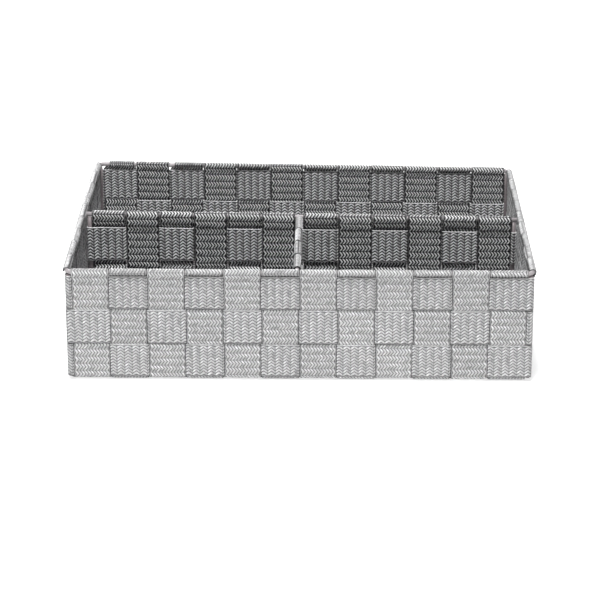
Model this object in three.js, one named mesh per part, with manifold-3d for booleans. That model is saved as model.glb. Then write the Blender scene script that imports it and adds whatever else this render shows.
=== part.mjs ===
// A low open organizer with three compartments, plain woven from webbing over a welded wire frame.
// Millimetres. X is the width, Y the depth with the front at -Y, Z is up. The origin is the middle
// of the underside.
//
// The frame is a rim wire, a base wire, four corner posts and two wires in each divider. Straps run
// across the base and up two walls, and each is folded over the rim wire at both ends. Bands run
// round the four walls, over and under the straps.

import * as THREE from 'three';
import { mergeVertices } from 'three/addons/utils/BufferGeometryUtils.js';
import Module from 'manifold-3d';

const wasm = await Module();
wasm.setup();

// Overall size.
const WIDTH = 320;
const DEPTH = 250;
const HEIGHT = 80;

// Webbing. A strap lies flat, so its width is along the wall and its thickness through it. The
// strips of one run share its length, with a slot between neighbours.
const STRAP_THICKNESS = 0.9;
const FRONT_TO_BACK_STRAPS = 12;
const SIDE_TO_SIDE_STRAPS = 9;
const WALL_BANDS = 3;
const STRAP_SLOT = 1.5;
const CROSSING_GAP = 0.3;
const EDGE_GAP = 0.4;
const STEP_INSET = 0.25;

// Wire.
const WIRE_DIAMETER = 3;
const WIRE_GAP = 0.3;
const WIRE_SIDES = 8;
const BUTT_GAP = 0.3;
const CORNER_SLOT = 0.9;

// The fold of a strap over a wire, and its turn at the foot of a wall.
const FOLD_TAIL = 1;
const FOLD_FLARE = 1.2;
const FOOT_RADIUS = 2;

// Dividers. Their upper band lies lower than the wall's, and their lower band higher.
const LONG_DIVIDER_Y = -2;
const SHORT_DIVIDER_X = -1.6;
const LONG_DIVIDER_BAY_STRAPS = 6;
const SHORT_DIVIDER_STRAPS = 4;
const JUNCTION_WIDTH = 7;
const DIVIDER_BAND_DROP = 7.1;
const DIVIDER_BAND_RISE = 8.7;
const DIVIDER_FRAME_BEND = 2.8;
const DIVIDER_POST_INSET = 4.8;

// Colours.
const WEBBING_GREY = 0x9b9a9b;
const WIRE_GREY = 0xcbc3c5;

// Sizes that follow from the ones above. A strap's centre line stands STEP either side of the
// middle of its wall, on the outer side of a band at one crossing and on the inner at the next.
const HALF_THICKNESS = STRAP_THICKNESS / 2;
const STEP = (STRAP_THICKNESS + CROSSING_GAP) / 2;
const WIRE_RADIUS = WIRE_DIAMETER / 2;
const FOLD_RADIUS = WIRE_RADIUS + WIRE_GAP + HALF_THICKNESS;
const FOLD_REACH = FOLD_RADIUS + HALF_THICKNESS;
const WALL_X = WIDTH / 2 - FOLD_REACH;
const WALL_Y = DEPTH / 2 - FOLD_REACH;
const RIM_Z = HEIGHT - FOLD_REACH;
const BASE_LOW = HALF_THICKNESS;
const BASE_HIGH = BASE_LOW + 2 * STEP;
const BASE_TOP = BASE_HIGH + HALF_THICKNESS;

const POST_TOP = RIM_Z - WIRE_RADIUS - WIRE_GAP;
const DIVIDER_FOOT_Z = BASE_TOP + CROSSING_GAP + FOLD_REACH;

// A round bend is drawn as chords that touch it. A fold has five, past half a turn, a hook round a
// post four, half a turn, and a quarter bend of wire or band three.
const FOLD_CHORD = Math.PI / 4;
const FOLD_CORNERS = 6;
const HOOK_CORNERS = 5;
const BEND_CHORD = Math.PI / 6;
const BEND_CORNERS = 3;

// The bands fill the wall between the foot and the cut end of the folds.
const TAIL_END_Z = RIM_Z - FOLD_RADIUS * Math.tan(FOLD_CHORD / 2) - FOLD_TAIL * Math.SQRT1_2;
const BAND_TOP = TAIL_END_Z - HALF_THICKNESS * Math.SQRT1_2 - EDGE_GAP;
const BAND_BOTTOM = BASE_TOP + CROSSING_GAP;

// A corner post stands under the middle of the rim wire's bend, inside the bands.
const POST_INSET = FOLD_RADIUS - STEP;
const RIM_BEND = POST_INSET / (1 - Math.SQRT1_2);
const BASE_WIRE_INSET = STEP + HALF_THICKNESS + WIRE_GAP + WIRE_RADIUS;
const BASE_WIRE_Z = BASE_TOP + WIRE_GAP + WIRE_RADIUS;
const POST_TO_BASE_WIRE = (WIRE_DIAMETER + WIRE_GAP) * Math.SQRT1_2;
const BASE_BEND = (POST_TO_BASE_WIRE + POST_INSET - BASE_WIRE_INSET) / (1 - Math.SQRT1_2);
const FIRST_EDGE_INSET = POST_INSET + WIRE_RADIUS + CORNER_SLOT;

/** Shares a run among strips, with a slot between neighbours. Gives each one's edges and middle. */
function spread(from, to, count) {
  const width = (to - from - (count - 1) * STRAP_SLOT) / count;
  return Array.from({ length: count }, (_, k) => strip(from + k * (width + STRAP_SLOT), width));
}

function strip(low, width) {
  return { low, high: low + width, middle: low + width / 2, width };
}

const EDGE_X = WALL_X - FIRST_EDGE_INSET;
const EDGE_Y = WALL_Y - FIRST_EDGE_INSET;
const LENGTHWAYS = spread(-EDGE_X, EDGE_X, FRONT_TO_BACK_STRAPS);
const CROSSWAYS = spread(-EDGE_Y, EDGE_Y, SIDE_TO_SIDE_STRAPS);
const BANDS = spread(BAND_BOTTOM, BAND_TOP, WALL_BANDS);
const BAND_WIDTH = BANDS[0].width;
const DIVIDER_BANDS = [
  strip(BAND_BOTTOM + DIVIDER_BAND_RISE, BAND_WIDTH),
  strip(BAND_TOP - DIVIDER_BAND_DROP - BAND_WIDTH, BAND_WIDTH),
];

/** Says on which side a strap lies: 1 is the outside of the organizer, -1 the inside. */
function sideOnBase(strapIndex, crossingIndex, isLengthways) {
  const even = (strapIndex + crossingIndex) % 2 === 0;
  return even === isLengthways ? -1 : 1;
}

/** The step of a centre line from one side to the other in the slot between two strips. */
function slotStep(before, after) {
  return [before.high + STEP_INSET, after.low - STEP_INSET];
}

/** The fold over a wire: from the side that the strap comes up on, over, and back under the wire. */
function foldOver(side, wireZ, up = 1) {
  const points = [];
  const reach = FOLD_RADIUS / Math.cos(FOLD_CHORD / 2);
  for (let k = 0; k < FOLD_CORNERS; k += 1) {
    const angle = -FOLD_CHORD / 2 + k * FOLD_CHORD;
    points.push([side * reach * Math.cos(angle), wireZ + up * reach * Math.sin(angle)]);
  }
  const [o, z] = points[points.length - 1];
  const drop = FOLD_TAIL * Math.SQRT1_2;
  points.push([o + side * drop, z - up * drop]);
  return points;
}

/** A strap's way up one wall, from the base to its cut end, as [outward offset, height] points. */
function wallRun(sideOnFirstBaseStrap) {
  let side = -sideOnFirstBaseStrap;
  const points = [];
  if (side > 0) {
    const chamfer = STEP;
    points.push([side * STEP - chamfer, BASE_HIGH], [side * STEP, BASE_HIGH + chamfer]);
  } else {
    const centre = [-STEP - FOOT_RADIUS, BASE_LOW + FOOT_RADIUS];
    const arm = FOOT_RADIUS * Math.SQRT1_2;
    points.push([centre[0], BASE_LOW], [centre[0] + arm, centre[1] - arm], [-STEP, centre[1]]);
  }
  for (let k = 1; k < BANDS.length; k += 1) {
    const [low, high] = slotStep(BANDS[k - 1], BANDS[k]);
    points.push([side * STEP, low], [-side * STEP, high]);
    side = -side;
  }
  points.push([side * STEP, BAND_TOP - FOLD_FLARE]);
  return points.concat(foldOver(side, RIM_Z));
}

/** The whole centre line of a strap that crosses the base and climbs two walls. */
function basketStrapLine(wall, crossings, sides) {
  const low = wallRun(sides[0]).map(([o, z]) => new THREE.Vector2(-wall - o, z));
  const high = wallRun(sides[sides.length - 1]).map(([o, z]) => new THREE.Vector2(wall + o, z));
  const base = [];
  for (let k = 1; k < crossings.length; k += 1) {
    const [from, to] = slotStep(crossings[k - 1], crossings[k]);
    base.push(new THREE.Vector2(from, baseLevel(sides[k - 1])));
    base.push(new THREE.Vector2(to, baseLevel(sides[k])));
  }
  return [...low.reverse(), ...base, ...high];
}

/** The height of a strap's centre line where it lies under (1) or over (-1) another on the base. */
function baseLevel(side) {
  return side > 0 ? BASE_LOW : BASE_HIGH;
}

/** The two edges of a ribbon of the strap's thickness along a centre line, mitred at each bend. */
function ribbonEdges(line, closed) {
  const count = line.length;
  const left = [];
  const right = [];
  for (let k = 0; k < count; k += 1) {
    const before = line[closed ? (k + count - 1) % count : Math.max(k - 1, 0)];
    const after = line[closed ? (k + 1) % count : Math.min(k + 1, count - 1)];
    const into = line[k].clone().sub(before).normalize();
    const out = after.clone().sub(line[k]).normalize();
    const direction = into.clone().add(out).normalize();
    const normal = new THREE.Vector2(-direction.y, direction.x);
    const along = into.lengthSq() > 0 ? into : out;
    const mitre = HALF_THICKNESS / (normal.x * -along.y + normal.y * along.x);
    left.push(line[k].clone().addScaledVector(normal, mitre));
    right.push(line[k].clone().addScaledVector(normal, -mitre));
  }
  return [left, right];
}

/** A strap: the ribbon of its centre line, extruded by its width, with the width centred on zero. */
function strapGeometry(line, width) {
  const [left, right] = ribbonEdges(line, false);
  return centredExtrusion(new THREE.Shape([...left, ...right.reverse()]), width);
}

/** A band: a closed ribbon round the walls, extruded by its width. */
function bandGeometry(line, width) {
  const [inner, outer] = ribbonEdges(line, true);
  const shape = new THREE.Shape(outer);
  shape.holes.push(new THREE.Path(inner));
  return centredExtrusion(shape, width);
}

function centredExtrusion(shape, width) {
  const geometry = new THREE.ExtrudeGeometry(shape, { depth: width, bevelEnabled: false, steps: 1 });
  return geometry.translate(0, 0, -width / 2);
}

/** A path through fixed stations, so that a swept wire has sections only where it bends. */
class StationPath extends THREE.Curve {
  constructor(stations) {
    super();
    this.stations = stations;
  }

  getPoint(t, target = new THREE.Vector3()) {
    const place = t * (this.stations.length - 1);
    const k = Math.min(Math.floor(place), this.stations.length - 2);
    return target.lerpVectors(this.stations[k], this.stations[k + 1], place - k);
  }

  getPointAt(u, target) {
    return this.getPoint(u, target);
  }

  getTangentAt(u, target = new THREE.Vector3()) {
    const k = Math.round(u * (this.stations.length - 1));
    const before = this.stations[Math.max(k - 1, 0)];
    const after = this.stations[Math.min(k + 1, this.stations.length - 1)];
    const into = this.stations[k].clone().sub(before).normalize();
    const out = after.clone().sub(this.stations[k]).normalize();
    return target.copy(into).add(out).normalize();
  }
}

/** A round wire swept along stations that lie in one plane. */
function wireGeometry(stations) {
  const section = new THREE.Shape();
  for (let k = 0; k < WIRE_SIDES; k += 1) {
    const angle = ((k + 0.5) / WIRE_SIDES) * 2 * Math.PI;
    const point = [WIRE_RADIUS * Math.cos(angle), WIRE_RADIUS * Math.sin(angle)];
    if (k === 0) section.moveTo(...point);
    else section.lineTo(...point);
  }
  section.closePath();
  const path = new StationPath(stations);
  return new THREE.ExtrudeGeometry(section, { steps: stations.length - 1, extrudePath: path });
}

/** A quarter bend about a centre, in the plane of two unit directions, as chords that touch it. */
function bendStations(centre, from, to, radius) {
  const reach = radius / Math.cos(BEND_CHORD / 2);
  return Array.from({ length: BEND_CORNERS }, (_, k) => {
    const angle = BEND_CHORD * (k + 0.5);
    return centre
      .clone()
      .addScaledVector(from, reach * Math.cos(angle))
      .addScaledVector(to, reach * Math.sin(angle));
  });
}

const AXIS_X = new THREE.Vector3(1, 0, 0);
const AXIS_Y = new THREE.Vector3(0, 1, 0);
const AXIS_Z = new THREE.Vector3(0, 0, 1);

/** A rectangular hoop of wire, whose two ends meet in the middle of the back. */
function hoopGeometry(halfX, halfY, bend) {
  const x = halfX - bend;
  const y = halfY - bend;
  const left = AXIS_X.clone().negate();
  const front = AXIS_Y.clone().negate();
  return wireGeometry([
    new THREE.Vector3(-BUTT_GAP / 2, halfY, 0),
    ...bendStations(new THREE.Vector3(-x, y, 0), AXIS_Y, left, bend),
    ...bendStations(new THREE.Vector3(-x, -y, 0), left, front, bend),
    ...bendStations(new THREE.Vector3(x, -y, 0), front, AXIS_X, bend),
    ...bendStations(new THREE.Vector3(x, y, 0), AXIS_X, AXIS_Y, bend),
    new THREE.Vector3(BUTT_GAP / 2, halfY, 0),
  ]);
}

/** The lower wire of a divider: two posts and a foot, bent from one length, in the X and Z plane. */
function dividerFrameGeometry(lowX, highX) {
  const foot = DIVIDER_FOOT_Z;
  const bend = DIVIDER_FRAME_BEND;
  const left = AXIS_X.clone().negate();
  const down = AXIS_Z.clone().negate();
  return wireGeometry([
    new THREE.Vector3(lowX, 0, POST_TOP),
    ...bendStations(new THREE.Vector3(lowX + bend, 0, foot + bend), left, down, bend),
    ...bendStations(new THREE.Vector3(highX - bend, 0, foot + bend), down, AXIS_X, bend),
    new THREE.Vector3(highX, 0, POST_TOP),
  ]);
}

/** A divider's strap: folded over the top wire and under the foot wire, between the two bands. */
function dividerStrapGeometry(sideAtTop, width) {
  let side = -sideAtTop;
  const low = foldOver(side, DIVIDER_FOOT_Z, -1).reverse();
  const points = [...low, [side * STEP, DIVIDER_BANDS[0].low + FOLD_FLARE]];
  for (let k = 1; k < DIVIDER_BANDS.length; k += 1) {
    const [from, to] = slotStep(DIVIDER_BANDS[k - 1], DIVIDER_BANDS[k]);
    points.push([side * STEP, from], [-side * STEP, to]);
    side = -side;
  }
  points.push([side * STEP, DIVIDER_BANDS.at(-1).high - FOLD_FLARE], ...foldOver(side, RIM_Z));
  return strapGeometry(points.map(([o, z]) => new THREE.Vector2(o, z)), width);
}

/** The hook of a band round a post: from the side it comes along, round the post's far side. */
function hookRound(post, outward, side) {
  const reach = FOLD_RADIUS / Math.cos(FOLD_CHORD / 2);
  return Array.from({ length: HOOK_CORNERS }, (_, k) => {
    const angle = Math.PI / 2 + FOLD_CHORD / 2 - k * FOLD_CHORD;
    return [post + outward * reach * Math.cos(angle), side * reach * Math.sin(angle)];
  });
}

/** A divider's band: hooked round a post at each end, over and under the straps between. */
function dividerBandGeometry(lowPost, highPost, straps, sides) {
  const first = sides[0];
  const last = sides.at(-1);
  const points = hookRound(lowPost, -1, first).reverse();
  points.push([straps[0].low + STEP_INSET, first * STEP]);
  for (let k = 1; k < straps.length; k += 1) {
    const [from, to] = slotStep(straps[k - 1], straps[k]);
    points.push([from, sides[k - 1] * STEP], [to, sides[k] * STEP]);
  }
  points.push([straps.at(-1).high - STEP_INSET, last * STEP], ...hookRound(highPost, 1, last));
  return strapGeometry(points.map(([u, o]) => new THREE.Vector2(u, o)), BAND_WIDTH);
}

/** Cuts the round hole or notch in a fold's inner leg that a divider's top wire passes through. */
function cutForTopWire(geometry, legMiddle, acrossWidth) {
  const radius = WIRE_RADIUS + WIRE_GAP;
  const bar = new THREE.CylinderGeometry(radius, radius, FOLD_RADIUS, WIRE_SIDES);
  bar.rotateZ(Math.PI / 2);
  bar.translate(legMiddle, RIM_Z, acrossWidth);
  return fromSolid(toSolid(geometry).subtract(toSolid(bar)));
}

/** Whether a divider's top wire, at this place along the wall, meets the fold of a strap. */
function meetsTopWire(place, strap) {
  const reach = WIRE_RADIUS + WIRE_GAP;
  return place > strap.low - reach && place < strap.high + reach;
}

function toSolid(geometry) {
  const bare = geometry.clone();
  bare.deleteAttribute('normal');
  bare.deleteAttribute('uv');
  const merged = mergeVertices(bare, 1e-4);
  const vertProperties = Float32Array.from(merged.getAttribute('position').array);
  const triVerts = Uint32Array.from(merged.index.array);
  return new wasm.Manifold(new wasm.Mesh({ numProp: 3, vertProperties, triVerts }));
}

function fromSolid(solid) {
  const { vertProperties, triVerts } = solid.getMesh();
  const geometry = new THREE.BufferGeometry();
  geometry.setAttribute('position', new THREE.BufferAttribute(Float32Array.from(vertProperties), 3));
  geometry.setIndex(new THREE.BufferAttribute(Uint32Array.from(triVerts), 1));
  geometry.computeVertexNormals();
  return geometry;
}

function webbing() {
  return new THREE.MeshStandardMaterial({ color: WEBBING_GREY, roughness: 0.9, metalness: 0 });
}

function paintedWire() {
  return new THREE.MeshStandardMaterial({ color: WIRE_GREY, roughness: 0.45, metalness: 0.1 });
}

function addPiece(parent, name, geometry, material) {
  const mesh = new THREE.Mesh(geometry, material);
  mesh.name = name;
  parent.add(mesh);
  return mesh;
}

/** Turns an extrusion so that its outline stands upright with its first axis along X. */
const UPRIGHT_ALONG_X = new THREE.Matrix4().makeRotationX(Math.PI / 2);
/** Turns it so that its first axis runs along Y. */
const UPRIGHT_ALONG_Y = new THREE.Matrix4().makeBasis(AXIS_Y, AXIS_Z, AXIS_X);

function upright(mesh, matrix) {
  mesh.quaternion.setFromRotationMatrix(matrix);
  return mesh;
}

const organizer = new THREE.Group();

// The frame: rim wire, base wire and the posts between them.
const frame = new THREE.Group();
organizer.add(frame);
addPiece(frame, 'rim_wire', hoopGeometry(WALL_X, WALL_Y, RIM_BEND), paintedWire()).position.z = RIM_Z;
addPiece(
  frame,
  'base_wire',
  hoopGeometry(WALL_X - BASE_WIRE_INSET, WALL_Y - BASE_WIRE_INSET, BASE_BEND),
  paintedWire(),
).position.z = BASE_WIRE_Z;

const CORNERS = [
  ['front_left', -1, -1],
  ['front_right', 1, -1],
  ['back_left', -1, 1],
  ['back_right', 1, 1],
];
for (const [name, sideX, sideY] of CORNERS) {
  const length = POST_TOP - BAND_BOTTOM;
  const geometry = new THREE.CylinderGeometry(WIRE_RADIUS, WIRE_RADIUS, length, WIRE_SIDES);
  const post = addPiece(frame, `corner_post_${name}`, geometry, paintedWire());
  post.rotation.x = Math.PI / 2;
  post.position.set(
    sideX * (WALL_X - POST_INSET),
    sideY * (WALL_Y - POST_INSET),
    BAND_BOTTOM + length / 2,
  );
}

// The straps that run from front to back, across the base.
const lengthways = new THREE.Group();
organizer.add(lengthways);
LENGTHWAYS.forEach((strap, k) => {
  const sides = CROSSWAYS.map((_, j) => sideOnBase(k, j, true));
  let geometry = strapGeometry(basketStrapLine(WALL_Y, CROSSWAYS, sides), strap.width);
  if (meetsTopWire(SHORT_DIVIDER_X, strap)) {
    geometry = cutForTopWire(geometry, -WALL_Y + FOLD_RADIUS, SHORT_DIVIDER_X - strap.middle);
  }
  const mesh = addPiece(lengthways, `front_to_back_strap_${k + 1}`, geometry, webbing());
  upright(mesh, UPRIGHT_ALONG_Y).position.x = strap.middle;
});

// The straps that run from side to side, across the base.
const crossways = new THREE.Group();
organizer.add(crossways);
CROSSWAYS.forEach((strap, j) => {
  const sides = LENGTHWAYS.map((_, k) => sideOnBase(k, j, false));
  let geometry = strapGeometry(basketStrapLine(WALL_X, LENGTHWAYS, sides), strap.width);
  if (meetsTopWire(LONG_DIVIDER_Y, strap)) {
    for (const sideX of [-1, 1]) {
      const leg = sideX * (WALL_X - FOLD_RADIUS);
      geometry = cutForTopWire(geometry, leg, strap.middle - LONG_DIVIDER_Y);
    }
  }
  const mesh = addPiece(crossways, `side_to_side_strap_${j + 1}`, geometry, webbing());
  upright(mesh, UPRIGHT_ALONG_X).position.y = strap.middle;
});

/** The centre line of a band along one wall, from its low end to its high end. */
function wallStretch(straps, sides, wallEnd) {
  const points = [];
  const outerEnd = wallEnd - POST_INSET - CORNER_SLOT;
  const innerEnd = outerEnd - 2 * STEP;
  if (sides[0] < 0) points.push([-outerEnd, STEP], [-innerEnd, -STEP]);
  for (let k = 1; k < straps.length; k += 1) {
    const [from, to] = slotStep(straps[k - 1], straps[k]);
    points.push([from, sides[k - 1] * STEP], [to, sides[k] * STEP]);
  }
  if (sides.at(-1) < 0) points.push([innerEnd, -STEP], [outerEnd, STEP]);
  return points;
}

/** The side of a band where it crosses a strap on a wall, from the strap's side on the base. */
function bandSides(rowFromBase, baseSides) {
  return baseSides.map((side) => (rowFromBase % 2 === 0 ? side : -side));
}

/** The corner of a band: a bend round the post, in the plane of two unit directions. */
function bandCorner(sideX, sideY, from, to) {
  const post = new THREE.Vector3(sideX * (WALL_X - POST_INSET), sideY * (WALL_Y - POST_INSET), 0);
  return bendStations(post, from, to, POST_INSET + STEP).map((p) => new THREE.Vector2(p.x, p.y));
}

// The bands round the walls, lowest first.
const bands = new THREE.Group();
organizer.add(bands);
const BAND_NAMES = ['lower_band', 'middle_band', 'upper_band'];
BANDS.forEach((band, row) => {
  const lastX = LENGTHWAYS.length - 1;
  const lastY = CROSSWAYS.length - 1;
  const left = AXIS_X.clone().negate();
  const front = AXIS_Y.clone().negate();
  const along = (straps, wallEnd, baseSide) =>
    wallStretch(straps, bandSides(row, straps.map((_, k) => baseSide(k))), wallEnd);
  const frontRun = along(LENGTHWAYS, WALL_X, (k) => sideOnBase(k, 0, true));
  const backRun = along(LENGTHWAYS, WALL_X, (k) => sideOnBase(k, lastY, true));
  const leftRun = along(CROSSWAYS, WALL_Y, (j) => sideOnBase(0, j, false));
  const rightRun = along(CROSSWAYS, WALL_Y, (j) => sideOnBase(lastX, j, false));
  const line = [
    ...frontRun.map(([u, o]) => new THREE.Vector2(u, -WALL_Y - o)),
    ...bandCorner(1, -1, front, AXIS_X),
    ...rightRun.map(([u, o]) => new THREE.Vector2(WALL_X + o, u)),
    ...bandCorner(1, 1, AXIS_X, AXIS_Y),
    ...backRun.reverse().map(([u, o]) => new THREE.Vector2(u, WALL_Y + o)),
    ...bandCorner(-1, 1, AXIS_Y, left),
    ...leftRun.reverse().map(([u, o]) => new THREE.Vector2(-WALL_X - o, u)),
    ...bandCorner(-1, -1, left, front),
  ];
  const name = BAND_NAMES[row] ?? `band_${row + 1}`;
  addPiece(bands, name, bandGeometry(line, band.width), webbing()).position.z = band.middle;
});

/** Builds one divider along X: wires, straps and bands. Each name starts with the divider's. */
function buildDivider(name, topEnds, posts, straps, firstSide) {
  const divider = new THREE.Group();
  const length = topEnds[1] - topEnds[0];
  const bar = new THREE.CylinderGeometry(WIRE_RADIUS, WIRE_RADIUS, length, WIRE_SIDES);
  const top = addPiece(divider, `${name}_top_wire`, bar, paintedWire());
  top.rotation.z = Math.PI / 2;
  top.position.set((topEnds[0] + topEnds[1]) / 2, 0, RIM_Z);
  addPiece(divider, `${name}_frame_wire`, dividerFrameGeometry(...posts), paintedWire());
  const sides = straps.map((_, k) => (k % 2 === 0 ? firstSide : -firstSide));
  straps.forEach((strap, k) => {
    const geometry = dividerStrapGeometry(sides[k], strap.width);
    const mesh = addPiece(divider, `${name}_strap_${k + 1}`, geometry, webbing());
    upright(mesh, UPRIGHT_ALONG_Y).position.x = strap.middle;
  });
  DIVIDER_BANDS.forEach((band, row) => {
    const fromTop = DIVIDER_BANDS.length - 1 - row;
    const bandSide = sides.map((side) => (fromTop % 2 === 0 ? -side : side));
    const geometry = dividerBandGeometry(...posts, straps, bandSide);
    const label = fromTop === 0 ? 'upper' : 'lower';
    addPiece(divider, `${name}_${label}_band`, geometry, webbing()).position.z = band.middle;
  });
  return divider;
}

// The long divider runs from side to side, with a bare junction in its middle for the short one.
const POST_X = WALL_X - DIVIDER_POST_INSET;
const POST_TO_STRAP = WIRE_RADIUS + EDGE_GAP + WIRE_GAP / 2;
const STRAP_EDGE_X = POST_X - POST_TO_STRAP;
const JUNCTION_LOW = SHORT_DIVIDER_X - JUNCTION_WIDTH / 2;
const JUNCTION_HIGH = SHORT_DIVIDER_X + JUNCTION_WIDTH / 2;
const leftBay = spread(-STRAP_EDGE_X, JUNCTION_LOW, LONG_DIVIDER_BAY_STRAPS);
const rightBay = spread(JUNCTION_HIGH, STRAP_EDGE_X, LONG_DIVIDER_BAY_STRAPS);
const topReach = WALL_X - WIRE_RADIUS - WIRE_GAP;
const longDivider = buildDivider(
  'long_divider',
  [-topReach, topReach],
  [-POST_X, POST_X],
  [...leftBay, ...rightBay],
  1,
);
longDivider.position.y = LONG_DIVIDER_Y;
organizer.add(longDivider);

// The short divider runs from the front wall to the long one. Its own X points to the back.
const shortTop = [-WALL_Y + WIRE_RADIUS + WIRE_GAP, LONG_DIVIDER_Y - WIRE_DIAMETER / 2 - WIRE_GAP];
const shortPosts = [
  -WALL_Y + DIVIDER_POST_INSET,
  LONG_DIVIDER_Y - STEP - HALF_THICKNESS - CROSSING_GAP - FOLD_REACH,
];
const shortStraps = spread(
  shortPosts[0] + POST_TO_STRAP,
  shortPosts[1] - POST_TO_STRAP,
  SHORT_DIVIDER_STRAPS,
);
const shortDivider = buildDivider('short_divider', shortTop, shortPosts, shortStraps, 1);
shortDivider.rotation.z = Math.PI / 2;
shortDivider.position.x = SHORT_DIVIDER_X;
organizer.add(shortDivider);

export default organizer;
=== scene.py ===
"""Dresses the woven organizer: herringbone webbing over a painted wire frame.

Every strap and band follows the route of the solid that it replaces, over and under its
neighbours, and carries the raised herringbone of the webbing on both faces. Every wire is drawn
round, by straight pulls and bends. Metres: X is the width, Y the depth with the front at -Y, and
Z is up.
"""

import logging
import math
from dataclasses import dataclass
from enum import Enum

import bmesh
import bpy
import numpy as np
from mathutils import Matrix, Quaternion, Vector


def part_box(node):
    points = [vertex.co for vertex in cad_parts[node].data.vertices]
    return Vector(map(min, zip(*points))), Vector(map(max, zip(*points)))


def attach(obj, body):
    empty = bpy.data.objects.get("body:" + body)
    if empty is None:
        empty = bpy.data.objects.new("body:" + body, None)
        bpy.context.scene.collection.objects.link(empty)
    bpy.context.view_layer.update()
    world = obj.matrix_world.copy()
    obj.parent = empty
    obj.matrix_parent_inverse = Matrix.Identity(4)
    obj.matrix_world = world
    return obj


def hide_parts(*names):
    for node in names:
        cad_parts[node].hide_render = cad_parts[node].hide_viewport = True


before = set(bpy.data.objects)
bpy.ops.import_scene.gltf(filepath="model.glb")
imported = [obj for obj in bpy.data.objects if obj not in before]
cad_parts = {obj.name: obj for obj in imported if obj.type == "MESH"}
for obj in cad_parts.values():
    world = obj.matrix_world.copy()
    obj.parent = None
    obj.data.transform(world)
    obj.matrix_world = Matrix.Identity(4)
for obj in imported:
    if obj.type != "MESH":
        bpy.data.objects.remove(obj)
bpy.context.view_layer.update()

MM = 0.001
SEED = 1727
BODY = "root"
X_AXIS = Vector((1, 0, 0))
Y_AXIS = Vector((0, 1, 0))
Z_AXIS = Vector((0, 0, 1))
WHITE = (1.0, 1.0, 1.0, 1.0)

Pair = tuple[float, float]
WHOLE: Pair = (0.0, 1.0)
Colour = tuple[float, float, float]
Place = tuple[float, float, float]
Line = list[Pair]

log = logging.getLogger("organizer")


class Side(Enum):
    """The face of a wall, or of the base, that a strip lies on at a crossing."""

    OUTER = 1
    INNER = -1

    @property
    def other(self) -> "Side":
        """The opposite face."""
        return Side(-self.value)


class Slot(Enum):
    """The two kinds of material: webbing and wire."""

    WEBBING = "webbing"
    WIRE = "wire"


# Finishes


class NodeTree:
    """A short way to add and join the nodes of one material or world."""

    def __init__(self, owner: bpy.types.Material | bpy.types.World) -> None:
        """Empties the node tree and adds its output.

        Args:
            owner: The material or world to fill.
        """
        owner.use_nodes = True
        self.tree = owner.node_tree
        self.tree.nodes.clear()
        self.output = self.add("Output" + type(owner).__name__)

    def add(self, kind: str, *inputs: object, **values: object) -> bpy.types.Node:
        """Adds a node and sets its properties and sockets.

        Args:
            kind: The type name of the node, without the ShaderNode in front.
            *inputs: Values for the sockets that are in use, in order.
            **values: Property values, and socket values whose name has underscores for spaces.

        Returns:
            The new node.
        """
        made = self.tree.nodes.new("ShaderNode" + kind)
        for name, value in values.items():
            socket = made.inputs.get(name.replace("_", " "))
            if socket is None:
                setattr(made, name, value)
            else:
                self.feed(socket, value)
        for socket, value in zip([s for s in made.inputs if s.enabled], inputs):
            self.feed(socket, value)
        return made

    def feed(self, socket: bpy.types.NodeSocket, value: object) -> None:
        """Links or sets one socket.

        Args:
            socket: The input to fill.
            value: An output socket to link, or a plain value.
        """
        if isinstance(value, bpy.types.NodeSocket):
            self.tree.links.new(value, socket)
        else:
            socket.default_value = value

    def math(self, operation: str, first: object, second: object) -> bpy.types.NodeSocket:
        """Works out one value from two."""
        return self.add("Math", first, second, operation=operation).outputs[0]

    def blend(self, share: object, low: object, high: object) -> bpy.types.NodeSocket:
        """Mixes two colours, by the share of the second."""
        return self.add("Mix", share, low, high, data_type="RGBA").outputs[2]

    def spread(
        self, value: object, taken: tuple, given: tuple, kind: str = "LINEAR"
    ) -> bpy.types.NodeSocket:
        """Maps a value from one run of numbers to another, and stops at its ends."""
        return self.add("MapRange", value, *taken, *given, interpolation_type=kind).outputs[0]

    def noise(
        self, place: object, scale: float, detail: float, roughness: float
    ) -> bpy.types.NodeSocket:
        """Adds a noise texture."""
        made = self.add("TexNoise", Vector=place, Scale=scale, Detail=detail, Roughness=roughness)
        return made.outputs[0]

    def seen(self) -> bpy.types.NodeSocket:
        """Gives one to what the camera sees, straight or by a gloss or glass, and else nought.

        Returns:
            The output with that value.
        """
        rays = self.add("LightPath").outputs
        value = self.math("MAXIMUM", rays["Is Camera Ray"], rays["Is Glossy Ray"])
        return self.math("MAXIMUM", value, rays["Is Transmission Ray"])

    def surface(self, kind: str, *inputs: object, **values: object) -> None:
        """Adds a shader, set as any node, and joins it to the output."""
        self.feed(self.output.inputs["Surface"], self.add(kind, *inputs, **values).outputs[0])


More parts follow.
